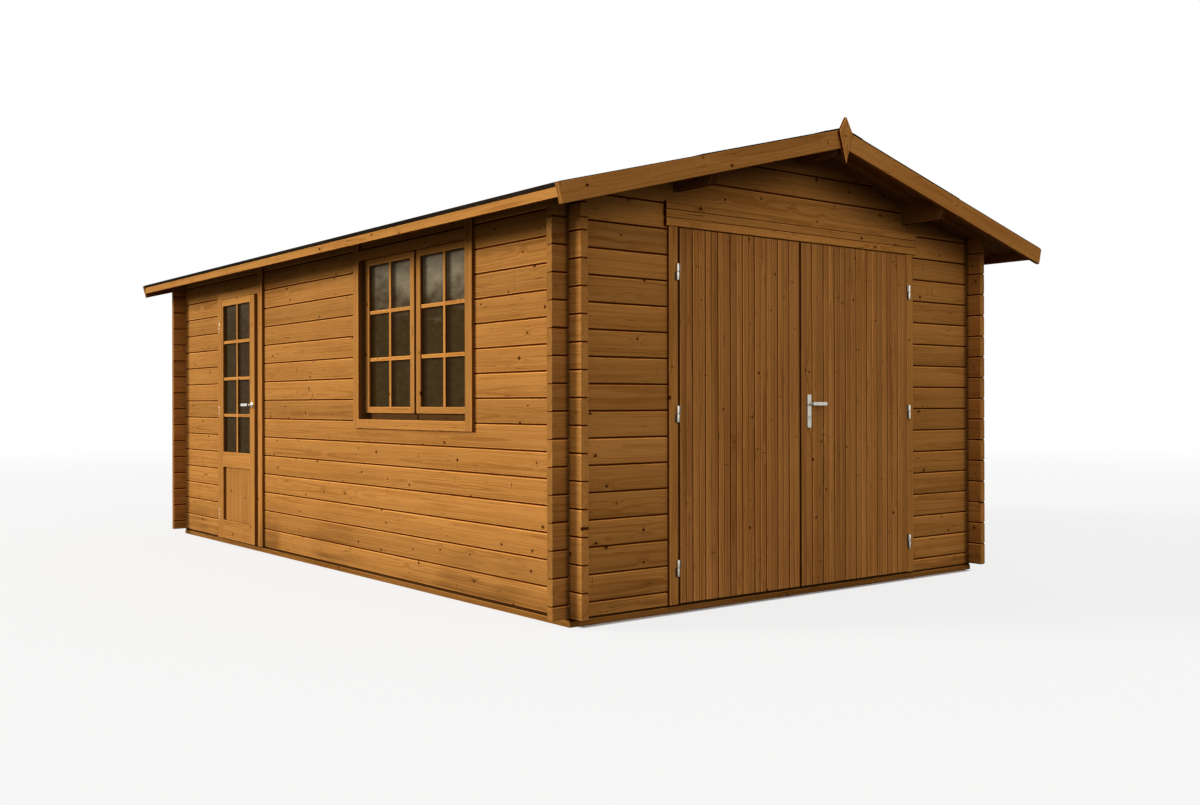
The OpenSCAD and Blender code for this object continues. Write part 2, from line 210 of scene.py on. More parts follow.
def attribute(make, name, output="Fac"):
    return make("ShaderNodeAttribute", {"attribute_name": name}, output=output)


def finish_surface(make, sockets):
    shader = make("ShaderNodeBsdfPrincipled", {}, sockets)
    make("ShaderNodeOutputMaterial", {"target": "ALL"}, {"Surface": shader})


print("socket wrapper ready")

# %% [markdown]
# ## Light and floor
# A soft lamp stands behind the left shoulder of the building, so the left wall is lit across its logs and
# the gable stays in shade. A very broad and weak one in front fills the gable from above, which leaves the
# places under the roof dark. The camera, polished metal and glass see a white room, while the wood is lit
# by a dimmer sky. The floor looks white outdoors and only there, so the room behind the doors stays dark.

# %% Light the building
scene.view_settings.view_transform = "Standard"


def soft_lamp(name, energy, spread, colour, towards):
    lamp_data = bpy.data.lights.new(name, "SUN")
    lamp_data.energy = energy
    lamp_data.angle = math.radians(spread)
    lamp_data.color = colour
    lamp = bpy.data.objects.new(name, lamp_data)
    scene.collection.objects.link(lamp)
    lamp.rotation_euler = Vector(towards).to_track_quat("Z", "Y").to_euler()
    print(name, "energy", energy)


soft_lamp("low_soft_lamp", energy=3.1, spread=20, colour=(1.0, 0.995, 0.95), towards=(-1.0, 0.75, 0.36))
soft_lamp("broad_fill_lamp", energy=0.75, spread=65, colour=(1.0, 0.93, 0.89), towards=(-0.25, -1.0, 0.42))
world = bpy.data.worlds.new("pale_room")
scene.world = world
world.use_nodes = True
world.node_tree.nodes.clear()
in_world = functools.partial(Wire.node, world.node_tree)
rays = in_world("ShaderNodeLightPath", output="Is Camera Ray")
seen = rays.at_least(rays.other("Is Glossy Ray")).at_least(rays.other("Is Transmission Ray"))
sky = in_world("ShaderNodeBackground", {}, {"Color": (1.0, 0.985, 0.96, 1.0), "Strength": 0.44})
white = in_world("ShaderNodeBackground", {}, {"Color": (1.0, 1.0, 1.0, 1.0), "Strength": 1.0})
blend = in_world("ShaderNodeMixShader", {}, {0: seen, 1: sky, 2: white})
in_world("ShaderNodeOutputWorld", {"target": "ALL"}, {"Surface": blend})
print("the room is white to the eye only")

# %% Lay the floor
FLOOR_RADIUS = 60.0
FLOOR_CORNERS = 48
floor_mesh = bpy.data.meshes.new("pale_floor")
corners = [2 * math.pi * corner / FLOOR_CORNERS for corner in range(FLOOR_CORNERS)]
rim = [(FLOOR_RADIUS * math.cos(a), FLOOR_RADIUS * math.sin(a), -0.0005) for a in corners]
floor_mesh.from_pydata(rim, [], [range(FLOOR_CORNERS)])
floor = bpy.data.objects.new("pale_floor", floor_mesh)
scene.collection.objects.link(floor)


def indoors(make, place):
    """1 inside the walls and 0 outside them, so the floor glows only outdoors."""
    near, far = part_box("right_wall")
    half = (far.y - near.y) / 2
    beside, depth = parts(make, place)[:2]
    from_middle = depth - (near.y + far.y) / 2
    across = beside.square().fall((near.x - 0.03) ** 2, near.x**2)
    return across * from_middle.square().fall((half - 0.08) ** 2, (half - 0.05) ** 2)


material, make = new_material("pale_floor")
place = make("ShaderNodeTexCoord", output="Object")
far_off = length(make, place).rise(8.0, 26.0)
glowing = make("ShaderNodeLightPath", output="Is Camera Ray") * (1.0 - indoors(make, place))
bounce = make("ShaderNodeLightPath", output="Is Diffuse Ray")
paint = make("ShaderNodeBsdfDiffuse", {}, {"Color": mixed(make, bounce, (0.8, 0.8, 0.8), (0.2, 0.19, 0.17))})
glow = make("ShaderNodeEmission", {}, {"Color": (1.0, 1.0, 1.0, 1.0), "Strength": 1.0})
shown = make("ShaderNodeMixShader", {}, {0: glowing * (0.8 + far_off * 0.2), 1: paint, 2: glow})
make("ShaderNodeOutputMaterial", {"target": "ALL"}, {"Surface": shown})
floor_mesh.materials.append(material)
print("floor laid,", 2 * FLOOR_RADIUS, "m across")

# %% [markdown]
# ## Stained softwood
# Planed spruce shows growth rings as long soft lines, round knots that push the lines aside, and a fine
# fibre. Each board carries its own coordinates in an attribute called grain: along the board, across its
# face and into its thickness, in metres and shifted by chance. The rings are distances from a heart line
# that runs beside the board, so the faces, the edges and the end grain agree. A second attribute, tone,
# gives every board its own shade of the same stain, and a third, edge, marks where shade and highlight are
# painted: narrow sides and joints are painted nearly black as shade, and an eased edge gets a painted
# highlight or painted shade by which way it faces the lamp. Wall boards also get painted shade under the
# eaves and in the corners, and are darker in patches towards the bottom.


# %% Mix the stain
def painted_eave_and_corner_shade(make, where):
    """Painted shade: the share of the stain's colour left where shade falls under the eaves and in the nooks
    of the corners.
    """
    beside, depth, height = parts(make, where)
    reach = beside.square() ** 0.5
    drop = ridge - reach * math.tan(PITCH) - height
    # Painted shade under the eaves, fading out between 0.1 and 0.28 m below the underside of the roof.
    left = drop.rise(0.1, 0.28) * 0.4 + 0.6
    inner = -left_face - LOG_THICK
    # Painted shade in the crevice beside each corner, on the log stubs and in the nook by the front face.
    crevice_painted_shade = reach.band(inner - 0.06, inner - HAIR, inner - HAIR, inner - HAIR / 2)
    stub_painted_shade = reach.rise(-left_face + HAIR / 2, -left_face + 2 * HAIR)
    stub_painted_shade = stub_painted_shade * reach.fall(-left_face + 2 * HAIR, -left_face + 0.035)
    stub_painted_shade = stub_painted_shade * depth.fall(front_face + 2 * HAIR, front_face + 6 * HAIR)
    nook_painted_shade = depth.band(front_face - 0.02, front_face - HAIR, front_face - HAIR, front_face - HAIR / 2)
    return left * (1.0 - crevice_painted_shade * 0.8) * (1.0 - stub_painted_shade * 0.7) * (1.0 - nook_painted_shade * 0.6)


def wood(name, pale, late, knot_share=0.15, shade=(0.86, 0.26), under_roof=False):
    material, make = new_material(name)
    grain = attribute(make, "grain", "Vector")
    along, across, deep = parts(make, grain)

    def stretched(scale, detail=1.0):
        return noise(make, vector_sum(make, "MULTIPLY", grain, scale), 1.0, detail)

    # Knots: at most one in each cell of a lattice on the board, with a check across some of them.
    cells = vector_sum(make, "MULTIPLY", grain, (3.1, 7.4, 0.0))
    flat = {"voronoi_dimensions": "2D"}
    heart = make("ShaderNodeTexVoronoi", flat, {"Vector": cells, "Scale": 1.0}, "Position")
    chance = make("ShaderNodeSeparateColor", {}, {0: heart.other("Color")}, "Red")
    away = vector_sum(make, "SUBTRACT", cells, heart)
    away = vector_sum(make, "MULTIPLY", away, (0.23, 0.135, 0.0))
    beside, above = parts(make, away)[:2]
    away = length(make, away)
    ragged = stretched((190.0, 260.0, 260.0))
    size = (chance - knot_share).at_least(0.0) * 0.0085 + 0.0001
    knot = (away * (ragged * 2.2 - 0.1) / size).fall(0.8, 1.2)
    bent = beside + (ragged - 0.5) * 0.008
    check = bent.square().fall(5e-7, 4e-6) * above.square().fall(1e-4, 6e-4)
    check = check * chance.other("Green").rise(0.6, 0.62)
    present = chance.rise(knot_share, knot_share + 0.1)
    pushed = away.fall(0.0, 0.055) * present

    # Growth rings round a heart line, and the fibre, streaks and cracks along the board.
    sway = stretched((0.8, 5.0, 5.0)) - 0.5
    radius = (across.square() + deep.square()) ** 0.5 + sway * 0.03 + pushed * 0.006
    rings_at = make("ShaderNodeCombineXYZ", {}, {0: along * 0.4, 1: radius * 210.0, 2: 0.0})
    ring_sockets = {"Vector": rings_at, "Scale": 1.0, "Detail": 2.0, "Roughness": 0.6}
    lines = make("ShaderNodeTexNoise", {"noise_dimensions": "2D"}, ring_sockets).rise(0.42, 0.7)
    fibre = stretched((7.0, 380.0, 380.0))
    streak = stretched((0.9, 34.0, 34.0), 2.0)
    crack = stretched((7.0, 110.0, 60.0)).rise(0.7, 0.78)
    where = make("ShaderNodeTexCoord", output="Object")
    cloud = noise(make, where, 1.6, 2.0)
    dark = lines * 0.6 + (fibre - 0.5) * 1.1 + (streak - 0.45) * 0.9 + (cloud - 0.5) * 0.7 + 0.18

    # The board's own tone, with a painted highlight on an eased edge that faces the lamp, painted shade under
    # the eaves and in the corners, and darker patches towards the bottom.
    edge = attribute(make, "edge")
    amount = (shade[0] + attribute(make, "tone") * shade[1]) * (1.0 - edge.at_most(0.0) * 0.7)
    # Painted shade under the eaves and in the corners, and darker in patches towards the bottom.
    if under_roof:
        amount = amount * painted_eave_and_corner_shade(make, where)
        height = parts(make, where)[2]
        darker_low_patches = height.fall(0.06, 0.34) * cloud.rise(0.4, 0.66)
        amount = amount * (1.0 - darker_low_patches * streak.rise(0.3, 0.6) * 0.4)
    tinted = {0: mixed(make, dark, pale, late), "Scale": amount}
    colour = make("ShaderNodeVectorMath", {"operation": "SCALE"}, tinted)

    # Narrow sides, joints and eased edges turned from the lamp are painted nearly black as shade, and knots,
    # cracks and checks are dark in the wood itself.
    joint = (late[0] * 0.2, late[1] * 0.1, late[2] * 0.04)
    colour = mixed(make, edge.at_least(0.0) * 0.7, colour, joint)
    ring_round = (away / size).rise(1.0, 1.9) * -1.0 + 1.0
    knot_dark = knot * 0.9 + ring_round * present * 0.25 + crack * 0.6 + check * 0.55
    burnt = (late[0] * 0.2, late[1] * 0.11, late[2] * 0.05)
    relief = lines * 0.35 + fibre * 0.55 - knot * 0.5
    normal = make("ShaderNodeBump", {}, {"Strength": 0.4, "Distance": 0.0007, "Height": relief})
    finish_surface(make, {
        "Base Color": mixed(make, knot_dark, colour, burnt),
        "Roughness": 0.6 + fibre * 0.18,
        "Normal": normal,
        "Specular IOR Level": 0.01,
    })
    return material


STAIN = ((0.5, 0.222, 0.053), (0.33, 0.128, 0.025))
stained_wood = wood("stained_wood", *STAIN)
wall_wood = wood("wall_wood", *STAIN, under_roof=True)
door_wood = wood("door_wood", (0.49, 0.213, 0.056), (0.31, 0.118, 0.026), knot_share=0.3, shade=(0.8, 0.3))
base_wood = wood("base_wood", (0.3, 0.127, 0.028), (0.19, 0.074, 0.013))
# The window frame takes a near-black copy of the stain, painted shade for its place deep in the reveal.
frame_wood = wood("frame_wood", (0.12, 0.052, 0.015), (0.075, 0.03, 0.009))
# The roof timbers take a darker copy of the stain, painted shade for their place under the roof.
roof_wood = wood("roof_wood", (0.21, 0.09, 0.022), (0.13, 0.05, 0.012))
print("six wood finishes")

# %% [markdown]
# ## Milled runs with Geometry Nodes
# Logs, roof boards and door boards are all one thing: a planed profile of even size that runs straight from
# one end to the other, with rounded edges and a tongue that closes the gap to the next. One tree makes them
# from a mesh of guide lines, one line a board. The profile is swept along each line, and the tree also
# writes the grain and tone attributes that the stain reads.


# %% Name the steps of a tree
def new_tree(name, wanted):
    tree = bpy.data.node_groups.new(name, "GeometryNodeTree")
    for label, kind in wanted.items():
        tree.interface.new_socket(label, in_out="INPUT", socket_type="NodeSocket" + kind)
    tree.interface.new_socket("Geometry", in_out="OUTPUT", socket_type="NodeSocketGeometry")
    return tree, functools.partial(Wire.node, tree)


def stored(make, geometry, name, kind, value, domain="POINT"):
    settings = {"data_type": kind, "domain": domain}
    sockets = {"Geometry": geometry, "Name": name, "Value": value}
    return make("GeometryNodeStoreNamedAttribute", settings, sockets)


def named(make, name, kind):
    return make("GeometryNodeInputNamedAttribute", {"data_type": kind}, {"Name": name})


def close_tree(make, geometry, material):
    geometry = make("GeometryNodeRealizeInstances", {}, {"Geometry": geometry})
    geometry = make("GeometryNodeSetMaterial", {}, {"Geometry": geometry, "Material": material})
    make("NodeGroupOutput", {}, {"Geometry": geometry})


def oblong(make, wide, deep):
    return make("GeometryNodeCurvePrimitiveQuadrilateral", {}, {"Width": wide, "Height": deep})


def swept(make, curve, profile):
    sockets = {"Curve": curve, "Profile Curve": profile, "Fill Caps": True}
    return make("GeometryNodeCurveToMesh", {}, sockets)


print("tree steps ready")

# %% Build the tree for milled runs
# The way the lamp is taken to lie for painted light: eased edges that face it are painted lighter, and those
# turned from it darker.
LIT_WAY = (-0.6, 0.0, 1.0)
FLAT = 0.94
TONGUE_SHADE = 1.5
SHIFT_LOW, SHIFT_HIGH = (-40.0, -0.05, 0.03), (40.0, 0.05, 0.09)


def milled_tree():
    sizes = ("Wide", "Deep", "Arris", "Tongue wide", "Tongue deep", "Broad side level", "Lift")
    wanted = {"Geometry": "Geometry", "Tongue place": "Vector", "Seed": "Int", "Material": "Material"}
    tree, make = new_tree("milled_runs", {**wanted, **dict.fromkeys(sizes, "Float")})
    given = make("NodeGroupInput", output="Geometry")

    def dot(first, second):
        return vector_sum(make, "DOT_PRODUCT", first, second, "Value")

    # The guide lines keep their own directions, for the grain.
    curve = make("GeometryNodeMeshToCurve", {}, {"Mesh": given})
    curve = make("GeometryNodeSetCurveNormal", {"mode": "Z_UP"}, {"Curve": curve})
    curve = stored(make, curve, "centre", "FLOAT_VECTOR", make("GeometryNodeInputPosition"))
    curve = stored(make, curve, "run_way", "FLOAT_VECTOR", make("GeometryNodeInputTangent"))
    curve = stored(make, curve, "side_way", "FLOAT_VECTOR", make("GeometryNodeInputNormal"))

    # The planed body with rounded edges, and the tongue a hair shorter than it.
    square = oblong(make, given.other("Wide"), given.other("Deep"))
    rounding = {"Curve": square, "Count": 2, "Radius": given.other("Arris"), "Limit Radius": True}
    body = swept(make, curve, make("GeometryNodeFilletCurve", {"mode": "POLY"}, rounding))
    strip = oblong(make, given.other("Tongue wide"), given.other("Tongue deep"))
    strip = make("GeometryNodeTransform", {}, {"Geometry": strip, "Translation": given.other("Tongue place")})
    trimmed = {"Curve": curve, "Start": 0.0003, "End": 0.9997}
    short = make("GeometryNodeTrimCurve", {"mode": "FACTOR"}, trimmed)
    tongue = swept(make, short, strip)

    # What kind of face each one is, for painted shade and highlight: a broad face, a narrow side painted
    # nearly black as shade, or an eased edge painted lighter or darker by which way it faces the lamp. The
    # tongue, deep in the joint, is painted as shade.
    run_way = named(make, "run_way", "FLOAT_VECTOR")
    side_way = named(make, "side_way", "FLOAT_VECTOR")
    other_way = vector_sum(make, "CROSS_PRODUCT", run_way, side_way)
    broad = given.other("Broad side level")
    normal = make("GeometryNodeInputNormal")
    to_side = dot(normal, side_way)
    to_other = dot(normal, other_way)
    to_end = dot(normal, run_way)
    level = (to_side * (1.0 - broad) + to_other * broad).square()
    narrow = (to_side * broad + to_other * (1.0 - broad)).square()
    is_narrow = narrow.above(FLAT)
    is_plain = level.at_least(to_end.square()).above(FLAT)
    lit = dot(normal, LIT_WAY)
    eased = lit.below(-0.1) * 2.35 - 1.0
    kind = is_narrow + (1.0 - is_narrow) * (1.0 - is_plain) * eased
    body = stored(make, body, "edge", "FLOAT", kind, "FACE")
    tongue = stored(make, tongue, "edge", "FLOAT", TONGUE_SHADE, "FACE")
    both = make("GeometryNodeJoinGeometry", {}, {"Geometry": [tongue, body]})

    # The grain's own coordinates, moved by chance with each run's number, and the run's tone.
    seeded = {"ID": named(make, "run", "INT"), "Seed": given.other("Seed")}
    reach = {"Min": SHIFT_LOW, "Max": SHIFT_HIGH, **seeded}
    shift = make("FunctionNodeRandomValue", {"data_type": "FLOAT_VECTOR"}, reach)
    tone = make("FunctionNodeRandomValue", {"data_type": "FLOAT"}, {"Min": 0.0, "Max": 1.0, **seeded})
    place = make("GeometryNodeInputPosition")
    from_centre = vector_sum(make, "SUBTRACT", place, named(make, "centre", "FLOAT_VECTOR"))
    along = dot(place, run_way)
    sideways = dot(from_centre, side_way)
    otherwise = dot(from_centre, other_way)
    across = sideways * broad + otherwise * (1.0 - broad)
    deep = sideways * (1.0 - broad) + otherwise * broad
    grain = make("ShaderNodeCombineXYZ", {}, {0: along, 1: across, 2: deep})
    both = stored(make, both, "grain", "FLOAT_VECTOR", vector_sum(make, "ADD", grain, shift))
    both = stored(make, both, "tone", "FLOAT", tone + given.other("Lift"))
    close_tree(make, both, given.other("Material"))
    return tree


MILLED = milled_tree()
print("tree", MILLED.name, "with", len(MILLED.nodes), "nodes")


# %% Sweep boards along guide lines
def milled(name, runs, seed, material, **sizes):
    """A mesh of runs, each with a start, an end and the number that picks its grain and tone."""
    guide = bpy.data.meshes.new(name + "_guide")
    ends = [point for start, end, number in runs for point in (start, end)]
    guide.from_pydata(ends, [(2 * i, 2 * i + 1) for i in range(len(runs))], [])
    numbers = guide.attributes.new("run", "INT", "POINT")
    numbers.data.foreach_set("value", [number for start, end, number in runs for twice in (0, 1)])
    holder = bpy.data.objects.new(name, guide)
    scene.collection.objects.link(holder)
    modifier = holder.modifiers.new("nodes", "NODES")
    modifier.node_group = MILLED
    inputs = {s.name: s.identifier for s in MILLED.interface.items_tree if s.in_out == "INPUT"}
    for label, value in dict(sizes, Seed=seed, Material=material).items():
        modifier[inputs[label.replace("_", " ")]] = value
    mesh = bpy.data.meshes.new_from_object(holder.evaluated_get(bpy.context.evaluated_depsgraph_get()))
    holder.modifiers.remove(modifier)
    bpy.data.objects.remove(holder)
    bpy.data.meshes.remove(guide)
    mesh.name = name
    for spare in ("centre", "run_way", "side_way", "run"):
        if spare in mesh.attributes:
            mesh.attributes.remove(mesh.attributes[spare])
    return mesh


def sawn(mesh, cuts):
    bm = bmesh.new()
    bm.from_mesh(mesh)
    for point, normal in cuts:
        everything = bm.verts[:] + bm.edges[:] + bm.faces[:]
        plane = dict(plane_co=point, plane_no=normal, dist=1e-5, clear_outer=True)
        cut = bmesh.ops.bisect_plane(bm, geom=everything, **plane)
        rim = [e for e in cut["geom_cut"] if isinstance(e, bmesh.types.BMEdge) and e.is_boundary]
        if rim:
            bmesh.ops.holes_fill(bm, edges=rim, sides=0)
    bm.to_mesh(mesh)
    bm.free()
    return mesh


def place_piece(name, mesh, nodes, body="building"):
    """Put a finished mesh on its body, in place of its solids."""
    finish = next(material.name for material in mesh.materials if material)
    finish = finish.split(".")[0]  # the solids' materials may hold the plain name
    thing = bpy.data.objects.new(name, mesh)
    scene.collection.objects.link(thing)
    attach(thing, body)
    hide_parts(*nodes)
    print(f"{name}: {len(mesh.polygons)} faces")


X, Y, Z = Vector((1, 0, 0)), Vector((0, 1, 0)), Vector((0, 0, 1))
ROOF_CUTS = [(Z * ridge, Vector((way * math.sin(PITCH), 0, math.cos(PITCH)))) for way in (-1, 1)]
print("the roof cuts lean", round(math.degrees(PITCH), 1), "degrees")

# %% [markdown]
# ## Log walls
# The logs are 44 mm thick and show 135 mm a course. Side walls start with a whole log on the base beam and
# the end walls with half a log, so the courses cross half a log apart at the corners. Each stretch of wall
# is grown on guide lines, one a log, and then sawn off level with its solid and under the slopes of the
# roof. A log keeps its number across the stretches of one wall, so its grain runs on past an opening.

# %% Grow the side walls
LOG = dict(
    Wide=LOG_THICK, Arris=0.005, Tongue_wide=0.034, Tongue_deep=0.018,
    Tongue_place=(0.0, COURSE / 2, 0.0), Broad_side_level=0.0,
)
SIDE_SEAM, END_SEAM = 0.008, 0.005
BUTT_GAP = 0.0006


def courses(low, high, first):
    number = 0
    while first + number * COURSE < high - 0.002:
        if first + (number + 1) * COURSE > low + 0.002:
            yield number, first + (number + 0.5) * COURSE
        number += 1


def log_wall(node, runs, seed, shaded=0.0, **sizes):
    mesh = milled(node + "_logs", runs, seed, wall_wood, **sizes, **LOG)
    # shaded lowers the tone on the right-hand side, a painted shade.
    tone = mesh.attributes["tone"].data
    for vert in mesh.vertices:
        tone[vert.index].value -= shaded * (vert.co.x > 0)
    low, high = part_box(node)
    place_piece("logs_" + node, sawn(mesh, [(low, -Z), (high, Z)] + ROOF_CUTS), [node])


def side_logs(node, seed, joints):
    low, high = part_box(node)
    middle = (low.x + high.x) / 2
    runs = []
    for number, z in courses(low.z, high.z, base_top):
        inside = [front_face + y for y in joints.get(number, []) if low.y < front_face + y < high.y]
        marks = [low.y, *inside, high.y]
        for part, (start, end) in enumerate(zip(marks, marks[1:])):
            start += BUTT_GAP if part else 0.0
            end -= BUTT_GAP if end < high.y else 0.0
            runs.append(((middle, start, z), (middle, end, z), number))
    log_wall(node, runs, seed, Deep=COURSE - SIDE_SEAM)


left_joints = {2: [1.7], 4: [2.95], 8: [0.56], 10: [3.1], 12: [0.47], 13: [0.6]}
right_joints = {3: [1.4], 5: [4.6], 7: [3.9], 11: [2.2]}
for stretch in ("front", "below_window", "above_window", "middle", "above_door", "back"):
    side_logs("left_wall_" + stretch, 11, left_joints)
side_logs("right_wall", 12, right_joints)


# %% Grow the end walls
BESIDE_DOOR = 60


def end_logs(node, seed, stretches, lift=0.0, shaded=0.0):
    low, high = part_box(node)
    middle = (low.y + high.y) / 2
    runs = []
    for number, z in courses(low.z, high.z, base_top - COURSE / 2):
        for start, end in stretches:
            shifted = BESIDE_DOOR if start > 0 and z < 2.0 else 0
            runs.append(((start, middle, z), (end, middle, z), number + shifted))
    log_wall(node, runs, seed, shaded, Deep=COURSE - END_SEAM, Lift=lift)


# The front gable's logs are lifted to a paler tone, painted light that offsets the shade under the overhang.
for wall, seed, lift in (
    ("front_wall_left", 21, 0.0),
    ("front_wall_right", 21, 0.0),
    ("front_gable", 21, 1.1),
    ("back_wall", 22, 0.0),
):
    low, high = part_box(wall)
    end_logs(wall, seed, [(low.x, high.x)], lift)
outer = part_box("front_log_ends")[1].x
# The log ends at the corners are lifted to a darker tone as painted shade, and the front ones on the right
# are darker again.
for ends, seed, shaded in (("front_log_ends", 21, 0.35), ("back_log_ends", 22, 0.0)):
    end_logs(ends, seed, [(-outer, left_face), (-left_face, outer)], -0.8, shaded)

# %% [markdown]
# ## The joiner's bench
# Everything else in wood is a separate board: a short prism with its edges eased, and grain along its
# length. The bench gathers such boards into one mesh for each piece of joinery. It can also take a copy of
# a solid that is a single board, so that the dressed board is exactly as long and as thick as the solid.


# %% Set up the bench
EASED = 0.0025
ALMOST_FLAT, ALMOST_LEVEL = 0.97, 0.1


class Bench:
    def __init__(self, seed=1, lift=0.0, side_shade=1.0, end_shade=0.4, back=None):
        self.points, self.faces = [], []
        self.grain, self.tone, self.edge, self.smooth = [], [], [], []
        self.lift = lift
        self.side_shade = side_shade
        self.end_shade = end_shade
        self.back = back
        self.chance = random.Random(seed)

    def take(self, bm, along, deep, round_faces=False):
        along = Vector(along).normalized()
        deep = Vector(deep).normalized()
        across = deep.cross(along)
        bmesh.ops.recalc_face_normals(bm, faces=bm.faces[:])
        bm.verts.index_update()
        middle = sum((v.co for v in bm.verts), Vector()) / len(bm.verts)
        shift = [self.chance.uniform(*span) for span in zip(SHIFT_LOW, SHIFT_HIGH)]
        tone = self.chance.random() + self.lift
        first = len(self.points)
        for vert in bm.verts:
            away = vert.co - middle
            self.points.append(vert.co.copy())
            own = (vert.co.dot(along), away.dot(across), away.dot(deep))
            self.grain.extend(a + b for a, b in zip(own, shift))
            self.tone.append(tone)
        for face in bm.faces:
            self.faces.append([first + v.index for v in face.verts])
            self.smooth.append(round_faces)
            self.edge.append(0.0 if round_faces else self.edge_kind(face.normal, along, deep))
        bm.free()

    def edge_kind(self, normal, along, deep):
        """Painted shade and highlight: 0 on a broad face, 1 on a narrow side or a back face, both painted
        nearly black as shade, and an eased edge painted lighter where it faces the lamp and darker in shade.
        """
        if self.back and normal.dot(self.back) > ALMOST_FLAT:
            return 1.0
        if abs(normal.dot(deep)) > ALMOST_FLAT:
            return 0.0
        if abs(normal.dot(along)) > ALMOST_FLAT:
            return self.end_shade
        if abs(normal.dot(deep)) < ALMOST_LEVEL:
            return self.side_shade
        return 0.8 if normal.dot(Vector(LIT_WAY)) < -0.1 else -1.0

    def prism(self, outline, sweep, along, deep=None, arris=EASED):
        sweep = Vector(sweep)
        bm = bmesh.new()
        near = [bm.verts.new(p) for p in outline]
        far = [bm.verts.new(Vector(p) + sweep) for p in outline]
        bm.faces.new(near)
        bm.faces.new(far[::-1])
        for i in range(len(near)):
            j = (i + 1) % len(near)
            bm.faces.new((near[j], near[i], far[i], far[j]))
        self.eased(bm, along, deep or sweep, arris)

    def eased(self, bm, along, deep, arris):
        bmesh.ops.recalc_face_normals(bm, faces=bm.faces[:])
        if arris:
            rounding = dict(offset=arris, segments=2, profile=0.5, affect="EDGES", clamp_overlap=True)
            bmesh.ops.bevel(bm, geom=bm.edges[:], **rounding)
        self.take(bm, along, deep)

    def board(self, low, high, along="z", arris=EASED, facing=None):
        """One board between two corners, with its grain along an axis."""
        low = Vector(low)
        high = Vector(high)
        size = high - low
        run = "xyz".index(along)
        thin = min((a for a in range(3) if a != run), key=lambda a: size[a])
        other = 3 - run - thin
        run_way, thin_way = (X, Y, Z)[run], (X, Y, Z)[thin]
        outline = [low.copy() for corner in range(4)]
        for corner, (a, b) in enumerate(((0, 0), (1, 0), (1, 1), (0, 1))):
            outline[corner][thin] += size[thin] * a
            outline[corner][other] += size[other] * b
        self.prism(outline, run_way * size[run], run_way, facing or thin_way, arris)

    def framed(self, low, high, run, stile, rails=(), arris=EASED):
        """Two uprights of one width, and rails between them from one height to another."""
        near, far = high.copy(), low.copy()
        near[run] = low[run] + stile
        far[run] = high[run] - stile
        self.board(low, near, "z", arris)
        self.board(far, high, "z", arris)
        for bottom, top in rails:
            start, end = low.copy(), high.copy()
            start[run], end[run] = near[run], far[run]
            start.z, end.z = bottom, top
            self.board(start, end, "xyz"[run], arris)

    def solid(self, node, along, deep, arris=EASED, top_cut=0.0):
        """A copy of a solid that is one board, with its edges eased and its top planed down."""
        bm = bmesh.new()
        bm.from_mesh(frame["nodes"][node].data)
        bmesh.ops.remove_doubles(bm, verts=bm.verts[:], dist=1e-5)
        bmesh.ops.dissolve_limit(bm, angle_limit=0.01, verts=bm.verts[:], edges=bm.edges[:])
        if top_cut:
            for vert in bm.verts:
                if abs(vert.co.z - roof_height(vert.co.x)) < 0.03:
                    vert.co.z -= top_cut
        self.eased(bm, along, deep, arris)

    def done(self, name, nodes, material, body="building"):
        mesh = bpy.data.meshes.new(name)
        mesh.from_pydata(self.points, [], self.faces)
        mesh.polygons.foreach_set("use_smooth", self.smooth)
        for label, kind, domain, key, values in (
            ("grain", "FLOAT_VECTOR", "POINT", "vector", self.grain),
            ("tone", "FLOAT", "POINT", "value", self.tone),
            ("edge", "FLOAT", "FACE", "value", self.edge),
        ):
            mesh.attributes.new(label, kind, domain).data.foreach_set(key, values)
        mesh.materials.append(material)
        place_piece(name, mesh, nodes, body)


print("bench ready")

# %% [markdown]
# ## Base beams and roof timbers
# Treated beams lie on the ground under the walls, with a nearly black strip between them and the lowest
# logs, a painted shade for the shadow line under the logs. Three purlins carry the roof from gable to gable,
# and their noses are cut back under the overhang.

# %% Dress the beams and purlins
STRIP, STRIP_INSET = 0.014, 0.005
for side, along, out in (("front", "x", -Y), ("back", "x", Y), ("left", "y", -X), ("right", "y", X)):
    bench = Bench(31)
    low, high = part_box("base_" + side)
    bench.board(low, high - Z * STRIP, along, arris=0.003, facing=out)
    # The strip is the beam's wood with its tone lowered to nearly black, as painted shade.
    bench.lift = -3.2
    inset = (X + Y) * STRIP_INSET
    bench.board(low + inset + Z * (high.z - STRIP - 0.001), high - inset, along, arris=0.0, facing=out)
    bench.done("beam_" + side, ["base_" + side], base_wood)
# The left purlin's tone is lowered, a painted shade under the left overhang.
for purlin, seed, lift in (("ridge_purlin", 40, 0.0), ("left_purlin", 41, -1.5), ("right_purlin", 42, 0.0)):
    bench = Bench(seed, lift)
    bench.solid(purlin, Y, X, arris=0.003)
    bench.done(purlin + "_timber", [purlin], roof_wood)

# %% [markdown]
# ## Roof boards
# Tongued boards run from the ridge down to the eaves, across the purlins, and show from below at the
# overhangs and inside. They are milled runs again: one guide line a board, laid on the slope, and sawn off
# upright at the ridge and at the eaves.

# %% Lay the roof boards
ROOF_BOARDS = 61
ROOF_JOINT = 0.0014
PAST_RIDGE, PAST_EAVE = 0.05, 1.03
roof_low, roof_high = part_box("roof_boards_left")
board_wide = (roof_high.y - roof_low.y) / ROOF_BOARDS
mid_rise = ROOF_BOARD / 2 / math.cos(PITCH)


